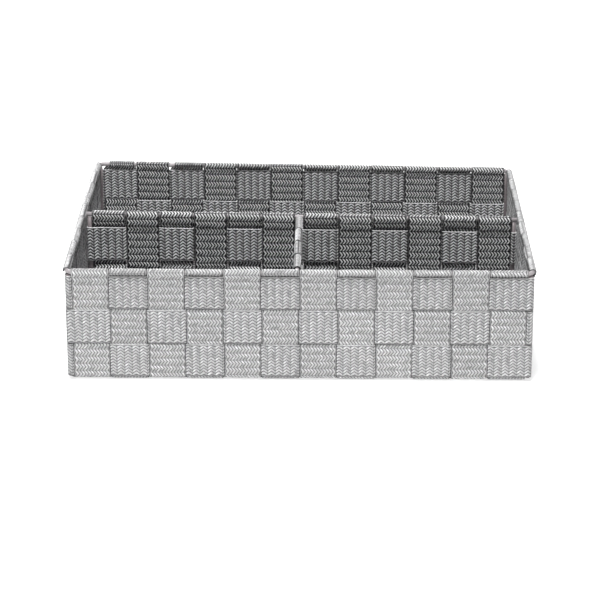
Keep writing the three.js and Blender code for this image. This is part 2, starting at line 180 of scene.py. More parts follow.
@dataclass(frozen=True)
class WebbingFinish:
    """Matt yarn with fine filaments, darker in the grooves between the raised lines, partly by the
    yarn's own tone and partly by painted shade.

    On the faces that look into a compartment, only the crowns of the lines catch the light, so the
    colours there carry painted light: the lines are drawn thinner and brighter, a painted
    highlight, over a ground darker by painted shade. Painted shade also darkens the gaps at the
    zigzag's points and the strips' edges.
    """

    name: str = "herringbone_webbing"
    yarn: Colour = (0.64, 0.64, 0.645)
    # Darker than the yarn: partly the yarn's own tone, partly painted shade in the grooves.
    groove: Colour = (0.085, 0.083, 0.087)
    line: Pair = (0.0, 0.65)
    # Painted light on faces that look into a compartment: a painted highlight on the thinner
    # lines' crowns, and painted shade in the grooves.
    inner_yarn: Colour = (0.93, 0.93, 0.94)
    inner_groove: Colour = (0.02, 0.018, 0.021)
    inner_line: Pair = (0.45, 1.0)
    # Painted shade in the gaps at the zigzag's points, deeper on faces that look into a
    # compartment.
    gap: Pair = (0.1, 0.6)
    gap_depth: float = 0.3
    inner_gap_depth: float = 0.8
    # Painted shade along the strips' edges, where one strip dives under the next.
    border: Pair = (0.25, 0.75)
    border_shade: float = 0.06
    brightest: float = 0.96
    yarn_height: float = 0.35 * MM
    roughness: float = 0.34
    specular: float = 0.2
    filaments_per_metre: float = 5200.0
    filament_stretch: float = 0.16
    filament_detail: Pair = (2.0, 0.6)
    filament_height: float = 0.05 * MM
    filament_strength: float = 0.6
    filament_range: Pair = (0.3, 0.7)
    filament_tones: Pair = (0.86, 1.12)
    mottle_scale: float = 900.0
    mottle_detail: Pair = (3.0, 0.5)
    mottle_range: Pair = (0.35, 0.65)
    mottle_tones: Pair = (0.93, 1.06)

    def material(self) -> bpy.types.Material:
        """Builds the material.

        Returns:
            The webbing, which reads the strip's own UV map and attributes.
        """
        material = bpy.data.materials.new(self.name)
        nodes = NodeTree(material)
        place = nodes.add("UVMap", uv_map="along_and_across").outputs[0]
        crown, arm, tone, inside, border = (
            nodes.add("Attribute", attribute_name=label).outputs["Fac"]
            for label in ("crown", "arm", "tone", "inside", "border")
        )
        stretch = nodes.add("Mapping", Vector=place, Scale=(self.filament_stretch, 1.0, 1.0))
        threads = stretch.outputs[0]
        filaments = nodes.noise(threads, self.filaments_per_metre, *self.filament_detail)
        mottle = nodes.noise(place, self.mottle_scale, *self.mottle_detail)
        # Inside a compartment the lines are drawn thinner, as part of the painted light there.
        edge = [nodes.spread(inside, WHOLE, pair) for pair in zip(self.line, self.inner_line)]
        raised = nodes.spread(crown, edge, WHOLE, "SMOOTHSTEP")
        # Painted shade in the gaps at the zigzag's points.
        lowest = (1.0 - self.gap_depth, 1.0 - self.inner_gap_depth)
        gap = nodes.spread(arm, self.gap, (nodes.spread(inside, WHOLE, lowest), 1.0), "SMOOTHSTEP")
        shown = nodes.math("MULTIPLY", raised, gap)
        # Painted shade in the grooves; inside a compartment also a painted highlight on the
        # crowns.
        outer = nodes.blend(shown, (*self.groove, 1.0), (*self.yarn, 1.0))
        inner = nodes.blend(shown, (*self.inner_groove, 1.0), (*self.inner_yarn, 1.0))
        shade = nodes.blend(inside, outer, inner)
        factor = nodes.math("ADD", tone, 1.0)
        for share in (
            nodes.spread(filaments, self.filament_range, self.filament_tones),
            nodes.spread(mottle, self.mottle_range, self.mottle_tones),
            # Painted shade along the strips' edges.
            nodes.spread(border, self.border, (self.border_shade, 1.0), "SMOOTHSTEP"),
        ):
            factor = nodes.math("MULTIPLY", factor, share)
        scaled = nodes.add("VectorMath", shade, factor, operation="SCALE").outputs[0]
        colour = nodes.add("VectorMath", scaled, (self.brightest,) * 3, operation="MINIMUM")
        plump = nodes.add("Bump", Strength=1.0, Distance=self.yarn_height, Height=shown)
        bump = nodes.add(
            "Bump",
            Strength=self.filament_strength,
            Distance=self.filament_height,
            Height=filaments,
            Normal=plump.outputs[0],
        )
        nodes.surface(
            "BsdfPrincipled",
            Base_Color=colour.outputs[0],
            Roughness=self.roughness,
            Specular_IOR_Level=self.specular,
            Normal=bump.outputs[0],
        )
        return material


@dataclass(frozen=True)
class PaintedWireFinish:
    """Satin paint over steel wire, faintly uneven."""

    name: str = "painted_wire"
    paint: Colour = (0.47, 0.44, 0.45)
    thin_paint: Colour = (0.40, 0.37, 0.385)
    roughness: float = 0.42
    unevenness: float = 0.04 * MM
    relief: float = 0.5
    patch_scale: float = 320.0
    patch_detail: Pair = (4.0, 0.6)
    patch_range: Pair = (0.35, 0.65)

    def material(self) -> bpy.types.Material:
        """Builds the material.

        Returns:
            The paint, whose coat thins and thickens along the wire.
        """
        material = bpy.data.materials.new(self.name)
        nodes = NodeTree(material)
        place = nodes.add("TexCoord").outputs["Object"]
        patches = nodes.noise(place, self.patch_scale, *self.patch_detail)
        coat = nodes.spread(patches, self.patch_range, WHOLE)
        bump = nodes.add("Bump", Strength=self.relief, Distance=self.unevenness, Height=patches)
        nodes.surface(
            "BsdfPrincipled",
            Base_Color=nodes.blend(coat, (*self.thin_paint, 1.0), (*self.paint, 1.0)),
            Roughness=self.roughness,
            Normal=bump.outputs[0],
        )
        return material


# Webbing


def totals(steps: np.ndarray) -> np.ndarray:
    """Adds up a row of steps, from nought."""
    return np.concatenate([[0.0], np.cumsum(steps)])


def lengths_along(line: np.ndarray) -> np.ndarray:
    """Measures how far along a line each of its points lies."""
    return totals(np.linalg.norm(np.diff(line, axis=0), axis=1))


def read_at(wanted: np.ndarray, places: np.ndarray, values: np.ndarray) -> np.ndarray:
    """Reads two columns of values at the wanted places."""
    return np.column_stack([np.interp(wanted, places, values[:, axis]) for axis in (0, 1)])


@dataclass(frozen=True)
class Herringbone:
    """The raised pattern of the webbing. Its lines zigzag along the strip, on both faces."""

    thickness: float = 1.15 * MM
    groove_depth: float = 0.48 * MM
    line_pitch: float = 2.2 * MM
    arm_length: float = 2.6 * MM
    swing: float = 1.0 * MM
    swing_growth: float = 1.6
    selvedge: float = 1.0 * MM
    selvedge_crown: float = 0.9
    still_edge: float = 0.3
    # Painted shade at a strip's edges; a painted highlight on a band's upper edge.
    edge_crown: float = 0.0
    lit_edge_crown: float = 0.95
    tip_drop: float = 0.16 * MM
    point_dip: float = 0.4
    yarn_spread: float = 0.04 * MM
    tone_spread: float = 0.2
    # Painted sheen: the arms that lean one way are drawn brighter, as their twisted yarn catches
    # more light; outside, a smaller share of it.
    bright_arm: float = 0.3
    outer_arm: float = 0.6
    darkest: float = -0.75
    largest_turn: float = math.radians(19)
    line_profile: tuple[Pair, ...] = ((0.0, 0.0), (0.37, 1.0), (0.63, 1.0))
    selvedge_profile: Pair = (0.5, 0.86)

    def columns(self, width: float, upper_edge: float) -> dict[str, np.ndarray]:
        """Lays out the cross-section of a strip, once round.

        Args:
            width: The strip's width.
            upper_edge: How pale the edge on its plus side is drawn, as a share of a raised line: a
                painted highlight on a band, painted shade at nought.

        Returns:
            For each column round the section: its place across, its half thickness with the sign
            of its face, its share of a raised line, its line and how far it swings.
        """
        reach = width / 2 - self.selvedge
        lines = max(1, round(2 * reach / self.line_pitch))
        pitch = 2 * reach / lines
        half = self.thickness / 2
        part, rise = self.selvedge_profile
        out, low = reach + part * self.selvedge, rise * half
        face = [
            (-out, low, self.selvedge_crown, 0),
            *(
                (-reach + (k + part) * pitch, half - self.groove_depth * (1 - rise), rise, k)
                for k in range(lines)
                for part, rise in self.line_profile
            ),
            (reach, half - self.groove_depth, 0.0, lines - 1),
            (out, low, self.selvedge_crown, lines - 1),
        ]
        back = [(across, -depth, crown, line) for across, depth, crown, line in face[::-1]]
        # The outermost columns carry painted shade, or on a band's upper edge a painted highlight.
        edges = [(width / 2, 0.0, upper_edge, lines - 1)], [(-width / 2, 0.0, self.edge_crown, 0)]
        table = np.array(face + edges[0] + back + edges[1] + face[:1])
        ring = dict(zip(("across", "depth", "crown", "line"), table.T))
        ring["line"] = ring["line"].astype(int)
        still = width / 2 - self.still_edge * self.selvedge - np.abs(ring["across"])
        ring["swing"] = self.swing * np.clip(still / (self.swing_growth * self.swing), *WHOLE)
        return ring


@dataclass(frozen=True)
class Plane:
    """The plane in which a strip's centre line is drawn, and the way across the strip."""

    origin: Vector
    first: Vector
    second: Vector

    @property
    def across(self) -> Vector:
        """The direction of the strip's width."""
        return self.first.cross(self.second)


class StripPath:
    """A strip's centre line in its own plane, rounded as webbing bends."""

    SAMPLE = 0.1 * MM
    SPREADS = 3
    FEWEST_STEPS = 8
    END_MARGIN = 0.2
    FIRST_ARM = 4

    def __init__(self, corners: Line, softness: float, closed: bool = False) -> None:
        """Rounds a line of corners.

        Args:
            corners: The corners, in order.
            softness: How far a corner's rounding reaches to each side.
            closed: Whether the last corner joins the first.
        """
        self.closed = closed
        line = self.resampled(np.array(corners + corners[:1] if closed else corners, float))
        reach = int(self.SPREADS * softness / self.SAMPLE)
        weights = np.exp(-0.5 * (np.arange(-reach, reach + 1) * self.SAMPLE / softness) ** 2)
        weights /= weights.sum()
        if closed:
            before, after = line[-reach - 1 : -1], line[1 : reach + 1]
        else:
            before = 2 * line[0] - line[reach:0:-1]
            after = 2 * line[-1] - line[-2 : -reach - 2 : -1]
        padded = np.vstack([before, line, after])
        rounded = [np.convolve(padded[:, axis], weights, "valid") for axis in (0, 1)]
        self.points = self.resampled(np.column_stack(rounded))
        self.places = lengths_along(self.points)
        self.length = self.places[-1]
        slope = np.gradient(self.points, self.places, axis=0)
        if closed:
            slope[0] = slope[-1] = (slope[0] + slope[-1]) / 2
        self.slope = slope / np.linalg.norm(slope, axis=1)[:, None]
        heading = np.unwrap(np.arctan2(self.slope[:, 1], self.slope[:, 0]))
        self.turned = totals(np.abs(np.diff(heading)))

    @classmethod
    def resampled(cls, line: np.ndarray) -> np.ndarray:
        """Spaces the points of a line evenly.

        Args:
            line: The points of the line.

        Returns:
            The same line with even, short steps.
        """
        places = lengths_along(line)
        count = max(cls.FEWEST_STEPS, round(places[-1] / cls.SAMPLE))
        return read_at(np.linspace(0.0, places[-1], count + 1), places, line)

    def stations(self, herringbone: Herringbone, start: float) -> tuple[np.ndarray, np.ndarray]:
        """Chooses where the strip's mesh has a row of vertices.

        Args:
            herringbone: The pattern, whose turns and arm middles each get a row.
            start: The place of the pattern's first turn, as a share of an arm.

        Returns:
            The places along the strip, and how many arms of the pattern lie before each.
        """
        arm = herringbone.arm_length
        if self.closed:
            arm = self.length / (2 * round(self.length / (2 * arm)))
            start = 0.0
        rows = np.arange(start * arm - arm, self.length + arm, arm / 2)
        margin = self.END_MARGIN * arm
        rows = rows[(rows > margin) & (rows < self.length - margin)]
        rows = np.concatenate([[0.0], rows, [self.length]])
        turned = np.interp(rows, self.places, self.turned)
        parts = np.ceil(np.diff(turned) / herringbone.largest_turn).clip(1).astype(int)
        pieces = [
            np.linspace(low, high, count, endpoint=False)
            for low, high, count in zip(rows[:-1], rows[1:], parts)
        ]
        places = np.concatenate([*pieces, [self.length]])
        return places, places / arm - start + self.FIRST_ARM

    def at(self, places: np.ndarray) -> tuple[np.ndarray, np.ndarray]:
        """Reads the line.

        Args:
            places: Places along it.

        Returns:
            The points and the unit normals there, in the plane.
        """
        slope = read_at(places, self.places, self.slope)
        slope /= np.linalg.norm(slope, axis=1)[:, None]
        normals = np.column_stack([-slope[:, 1], slope[:, 0]])
        return read_at(places, self.places, self.points), normals


class Loom:
    """Weaves the meshes of the strips and dresses them in the webbing's finish."""

    WANDER = 0.12 * MM
    WANDER_LENGTH = 90 * MM
    ORDERS = (1, 2, 3)
    WAVES = (0.3, 0.7)
    ROUNDING = 0.01
    CHANCE_LIMIT = 2
    SHADE_SPREAD = 0.02
    PINCH = 0.35 * MM
    FOLD_LENGTH = 7 * MM
    FOLD_FADE = 5 * MM
    TUCK_SPREAD = (0.6, 1.4)
    WALLS = (154 * MM, 119 * MM)
    BASE = 4 * MM
    # Bands get a smaller share of the painted light inside a compartment.
    BAND_INSIDE = 0.72
    EDGE_INSIDE = 0.2
    # Painted shade on the inner faces of the side walls.
    SIDE_SHADE = 0.24
    # Painted shade in the crease of each fold's tucked tail, fainter on outer faces.
    END_SHADE = 0.6
    END_SHADE_OUTSIDE = 0.22
    END_SHADE_REACH = (1.2 * MM, 2.7 * MM)
    HALF_GRID = 0.5
    WELD = 1e-7

    def __init__(self, herringbone: Herringbone, finish: WebbingFinish) -> None:
        """Prepares the pattern and the finish.

        Args:
            herringbone: The pattern of the webbing.
            finish: Its surface.
        """
        self.herringbone = herringbone
        self.material = finish.material()
        self.random = np.random.default_rng(SEED)
        self.triangles = 0

    def drift(self, places: np.ndarray, path: StripPath) -> np.ndarray:
        """Draws a slow random wave along a strip, which meets itself if the strip is closed.

        Args:
            places: Places along the strip.
            path: The strip's centre line.

        Returns:
            A value at each place, mostly within one of nought.
        """
        wave = np.zeros_like(places)
        for order in self.ORDERS:
            cycles = max(1.0, order * path.length / self.WANDER_LENGTH / 2)
            cycles = round(cycles) if path.closed else cycles
            phase = self.random.uniform(0, 2 * math.pi)
            height = self.random.uniform(*self.WAVES)
            wave += height * np.sin(2 * math.pi * cycles * places / path.length + phase)
        return wave

    def chances(self, phase: np.ndarray, ring: dict[str, np.ndarray], closed: bool) -> np.ndarray:
        """Draws how much each arm of each line differs from the rest.

        Args:
            phase: How many arms of the pattern lie before each row.
            ring: The columns round the strip.
            closed: Whether the strip's last arm is its first.

        Returns:
            A value for each row and column, a different one on the two faces.
        """
        arms = np.floor(phase + self.ROUNDING).astype(int)
        if closed:
            arms = arms % int(round(phase[-1] - phase[0]))
        drawn = self.random.normal(size=(arms.max() + 1, ring["line"].max() + 1, 2))
        upper = (ring["depth"] >= 0).astype(int)
        chance = drawn[arms[:, None], ring["line"], upper]
        return np.clip(chance, -self.CHANCE_LIMIT, self.CHANCE_LIMIT)

    def looks_inside(self, co: np.ndarray, facing: np.ndarray) -> np.ndarray:
        """Says how far the strip's surface looks into a compartment.

        Args:
            co: The points.
            facing: The way that the surface looks there.

        Returns:
            One on an inner face, and everywhere in a divider; nought on an outer face.
        """
        outward = np.zeros_like(co)
        for axis, wall in enumerate(self.WALLS):
            outward[..., axis] = np.sign(co[..., axis]) * (np.abs(co[..., axis]) > wall)
        outward[..., 2] = -1.0 * (co[..., 2] < self.BASE)
        walled = np.abs(outward).sum(-1) > 0
        inward = self.EDGE_INSIDE - (1 + self.EDGE_INSIDE) * (outward * facing).sum(-1)
        return np.where(walled, np.clip(inward, *WHOLE), 1.0)

    def weave(
        self,
        name: str,
        path: StripPath,
        plane: Plane,
        width: float,
        tucks: Pair = (0.0, 0.0),
        shift: float = 0.0,
        band: bool = False,
    ) -> bpy.types.Object:
        """Makes one strip: a grid wrapped round the strip's section and laid along its path.

        Args:
            name: The CAD node that the strip stands for.
            path: Its centre line.
            plane: The plane of the centre line.
            width: The strip's width.
            tucks: The share by which it is narrower in the folds at its two ends.
            shift: How far the fold at its last end stands off to its plus side.
            band: Whether it lies level; its upper edge then gets a painted highlight in place of
                the painted shade along an edge.

        Returns:
            The dressed strip.
        """
        pattern = self.herringbone
        rows, phase = path.stations(pattern, self.random.uniform(0.0, 2.0))
        # A band's upper edge gets a painted highlight; all other edges get painted shade.
        ring = pattern.columns(width, pattern.lit_edge_crown if band else pattern.edge_crown)
        crown, face = ring["crown"], np.sign(ring["depth"])
        swing = 1 - 2 * np.abs((phase % 2) - 1)
        tip = np.abs(swing)[:, None]
        dip = tip * np.where(swing < 0, 1.0, pattern.point_dip)[:, None]
        lean = np.where(phase % 2 < 1, 1, -1)[:, None] * (1 - tip)
        chance = self.chances(phase, ring, path.closed) * (1 - tip) * crown
        wander = self.drift(rows, path)[:, None]
        across = ring["across"] + ring["swing"] * swing[:, None] + self.WANDER * wander
        lift = pattern.yarn_spread * chance - pattern.tip_drop * (dip * crown)
        depth = ring["depth"] + face * lift
        # How far each column lies from the edge, in selvedges: the finish paints shade along the
        # edges by it, except on a band's upper edge and in the folds.
        border = (width / 2 - np.abs(ring["across"])) / pattern.selvedge
        border = np.where(band & (ring["across"] > 0), 1.0, border) + np.zeros_like(across)
        crease = 0.0
        if not path.closed:
            last = rows > path.length / 2
            ends = np.minimum(rows, path.length - rows)
            folded = 1 - np.clip((ends - self.FOLD_LENGTH) / self.FOLD_FADE, *WHOLE)
            eased = folded**2 * (3 - 2 * folded)
            tuck = np.where(last, tucks[1], tucks[0]) * self.random.uniform(*self.TUCK_SPREAD)
            across = across * (1 - tuck * eased)[:, None] + (shift * eased * last)[:, None]
            border = border + folded[:, None]
            depth = depth * np.clip(ends / self.PINCH, *WHOLE)[:, None]
            # Painted shade in the crease of the tucked tail.
            if not band:
                near = np.interp(ends, self.END_SHADE_REACH, (1.0, 0.0))
                crease = self.END_SHADE * near[:, None]
        points, normals = path.at(rows)
        axes = np.array([plane.first, plane.second])
        outward = (normals @ axes)[:, None, :]
        co = np.array(plane.origin) + (points @ axes)[:, None, :] + outward * depth[:, :, None]
        co = co + np.array(plane.across) * across[:, :, None]
        facing = outward * np.sign(depth)[:, :, None]
        inside = self.looks_inside(co, facing)
        # Painted shade on the inner faces of the side walls.
        beside = np.abs(co[..., 0]) > self.WALLS[0]
        shaded = self.SIDE_SHADE * np.clip(-np.sign(co[..., 0]) * facing[..., 0], *WHOLE) * beside
        # Painted shade in the creases of the folds, fainter on outer faces.
        shaded = shaded + crease * np.interp(inside, WHOLE, (self.END_SHADE_OUTSIDE, 1.0))
        # Painted sheen on the arms that lean one way, stronger inside a compartment.
        leaning = -lean * face * crown * np.interp(inside, WHOLE, (pattern.outer_arm, 1.0))
        tone = pattern.tone_spread * chance + pattern.bright_arm * leaning - shaded
        tone = tone + self.SHADE_SPREAD * (self.random.normal() + self.drift(rows, path))[:, None]
        values = {
            "border": border,
            # The share by which the finish draws its painted light for the inside of a
            # compartment.
            "inside": inside * (self.BAND_INSIDE if band else 1.0),
            "crown": np.broadcast_to(crown, across.shape),
            # Low where the zigzag turns; the finish paints shade into the gaps there.
            "arm": 1 - dip * (ring["swing"] > 0),
            "tone": np.maximum(tone, pattern.darkest),
        }
        girth = totals(np.hypot(np.diff(ring["across"]), np.diff(ring["depth"])))
        return self.dress(name, co, rows, girth, values)

    def dress(
        self,
        name: str,
        co: np.ndarray,
        rows: np.ndarray,
        girth: np.ndarray,
        values: dict[str, np.ndarray],
    ) -> bpy.types.Object:
        """Lays a grid on the strip's points, welds its seam and gives it its finish.

        Args:
            name: The CAD node that the strip stands for.
            co: The points, row by row.
            rows: The place of each row along the strip.
            girth: The place of each column round the section.
            values: Named values of each point, which the finish reads.

        Returns:
            The finished piece.
        """
        bm = bmesh.new()
        along, around = len(rows) - 1, len(girth) - 1
        half = self.HALF_GRID
        bmesh.ops.create_grid(bm, x_segments=along, y_segments=around, size=half)
        mesh = bpy.data.meshes.new(name + "_woven")
        bm.to_mesh(mesh)
        flat = points_of(mesh)
        row = np.rint((flat[:, 0] + half) * along).astype(int)
        column = np.rint((flat[:, 1] + half) * around).astype(int)
        mesh.vertices.foreach_set("co", co[row, column].ravel())
        corner = np.zeros(len(mesh.loops), int)
        mesh.loops.foreach_get("vertex_index", corner)
        place = np.column_stack([rows[row[corner]], girth[column[corner]]])
        layer = mesh.uv_layers.new(name="along_and_across")
        layer.data.foreach_set("uv", place.ravel())
        for label, value in values.items():
            attribute = mesh.attributes.new(label, "FLOAT", "POINT")
            attribute.data.foreach_set("value", value[row, column].ravel())
        bm.clear()
        bm.from_mesh(mesh)
        seam = [v for v in bm.verts if v.is_boundary]
        bmesh.ops.remove_doubles(bm, verts=seam, dist=self.WELD)
        bmesh.ops.recalc_face_normals(bm, faces=bm.faces)
        for face in bm.faces:
            face.smooth = True
        bm.to_mesh(mesh)
        self.triangles += sum(len(face.verts) - 2 for face in bm.faces)
        bm.free()
        mesh.materials.append(self.material)
        return keep(mesh, name)


def points_of(mesh: bpy.types.Mesh) -> np.ndarray:
    """Reads the vertices of a mesh.

    Args:
        mesh: The mesh.

    Returns:
        One row for each vertex.
    """
    flat = np.zeros(len(mesh.vertices) * 3)
    mesh.vertices.foreach_get("co", flat)
    return flat.reshape(-1, 3)


@dataclass(frozen=True)
class Twist:
    """The slight twist of the real organizer: its rim stands higher towards the back left."""

    raised: float = 4.6 * MM
    raised_band: float = 2.4 * MM
    half_width: float = 160 * MM
    half_depth: float = 125 * MM
    height: float = 80 * MM
    growth: float = 1.5

    def apply(self, mesh: bpy.types.Mesh, most: float) -> None:
        """Lifts the upper parts of a mesh, most at the back left corner and not at the foot.

        Args:
            mesh: The mesh, in the organizer's own frame.
            most: The most that any part of it is lifted.
        """
        co = points_of(mesh)
        leftward = np.clip(0.5 - co[:, 0] / self.half_width / 2, *WHOLE)
        backward = np.clip(0.5 + co[:, 1] / self.half_depth / 2, *WHOLE)
        upward = np.clip(co[:, 2] / self.height, *WHOLE) ** self.growth
        lift = self.raised * leftward * (1 - (1 - backward) ** 2) * upward
        co[:, 2] += np.minimum(lift, most)
        mesh.vertices.foreach_set("co", co.ravel())
        mesh.update()


def keep(mesh: bpy.types.Mesh, node: str) -> bpy.types.Object:
    """Puts a finished mesh in the scene in place of its CAD node.

    Args:
        mesh: The finished mesh, in place.
        node: The CAD node that it replaces.

    Returns:
        The object that holds it.
    """
    twist = Twist()
    twist.apply(mesh, twist.raised_band if node == "upper_band" else math.inf)
    piece = bpy.data.objects.new(mesh.name, mesh)
    bpy.context.scene.collection.objects.link(piece)
    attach(piece, BODY)
    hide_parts(node)
    log.info("%s: %d faces", mesh.name, len(mesh.polygons))
    return piece


# Wire


class WireBender:
    """Draws a round wire by straight pulls and bends."""

    SIDES = 20
    BEND_STEP = math.radians(9)
    PULL_STEP = 12 * MM
    WELD = 0.01 * MM

    def __init__(self, start: Vector, heading: Vector, radius: float) -> None:
        """Starts the wire.

        Args:
            start: The middle of its first end.
            heading: The direction that it leaves in.
            radius: The wire's radius.
        """
        self.point = start.copy()
        self.heading = heading.normalized()
        self.bm = bmesh.new()
        turn = self.heading.to_track_quat("Z", "Y").to_matrix().to_4x4()
        turn.translation = start
        bmesh.ops.create_circle(self.bm, segments=self.SIDES, radius=radius, matrix=turn)
        self.front = list(self.bm.verts) + list(self.bm.edges)

    def pull(self, length: float) -> "WireBender":
        """Lengthens the wire straight ahead.

        Args:
            length: How far.

        Returns:
            The bender, so that steps can follow each other.
        """
        steps = max(1, math.ceil(length / self.PULL_STEP))
        for _ in range(steps):
            edges = [part for part in self.front if isinstance(part, bmesh.types.BMEdge)]
            made = bmesh.ops.extrude_edge_only(self.bm, edges=edges)["geom"]
            verts = [part for part in made if isinstance(part, bmesh.types.BMVert)]
            rims = [part for part in made if isinstance(part, bmesh.types.BMEdge)]
            inside = set(verts)
            self.front = verts + [edge for edge in rims if inside.issuperset(edge.verts)]
            bmesh.ops.translate(self.bm, verts=verts, vec=self.heading * (length / steps))
        self.point += self.heading * length
        return self

    def bend(self, towards: Vector, radius: float, angle: float = math.pi / 2) -> "WireBender":
        """Bends the wire.

        Args:
            towards: The direction of the bend's centre, square to the heading.
            radius: The bend's radius, to the middle of the wire.
            angle: How far it turns.

        Returns:
            The bender, so that steps can follow each other.
        """
        axis = self.heading.cross(towards).normalized()
        centre = self.point + towards * radius
        made = bmesh.ops.spin(
            self.bm,
            geom=self.front,
            cent=centre,
            axis=axis,
            dvec=(0, 0, 0),
            angle=angle,
            steps=max(2, round(angle / self.BEND_STEP)),
            use_duplicate=False,
        )
        self.front = made["geom_last"]
        turn = Quaternion(axis, angle)
        self.heading = turn @ self.heading
        self.point = centre - turn @ (towards * radius)
        return self

    def finish(
        self, node: str, material: bpy.types.Material, closed: bool = False
    ) -> bpy.types.Object:
        """Closes the wire and dresses it.

        Args:
            node: The CAD node that it replaces.
            material: Its paint.
            closed: Whether the wire's end meets its start, where they are welded.

        Returns:
            The finished piece.
        """
        if closed:
            rim = [v for v in self.bm.verts if v.is_boundary]
            bmesh.ops.remove_doubles(self.bm, verts=rim, dist=self.WELD)
        else:
            ends = [e for e in self.bm.edges if e.is_boundary]
            bmesh.ops.holes_fill(self.bm, edges=ends, sides=0)
        bmesh.ops.recalc_face_normals(self.bm, faces=self.bm.faces)
        for face in self.bm.faces:
            face.smooth = len(face.verts) == 4
        mesh = bpy.data.meshes.new(node + "_painted")
        self.bm.to_mesh(mesh)
        self.bm.free()
        mesh.materials.append(material)
        return keep(mesh, node)


# Sizes read from the frame


@dataclass(frozen=True)
class Span:
    """The run that one strip takes up beside its neighbours."""

    low: float
    high: float

    @property
    def middle(self) -> float:
        """The middle of the strip."""
        return (self.low + self.high) / 2

    def widened(self, by: float) -> float:
        """The strip's width once it is wider by this much."""
        return self.high - self.low + by


def spans(names: list[str], axis: int) -> list[Span]:
    """Reads the runs of a row of strips, by their CAD nodes, along the axis across them."""
    return [Span(low[axis], high[axis]) for low, high in map(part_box, names)]


def numbered(prefix: str) -> list[str]:
    """Lists the CAD nodes whose name is a prefix and a number, in order."""
    rests = [name.removeprefix(prefix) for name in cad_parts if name.startswith(prefix)]
    return [f"{prefix}{k + 1}" for k in range(sum(rest.isdigit() for rest in rests))]


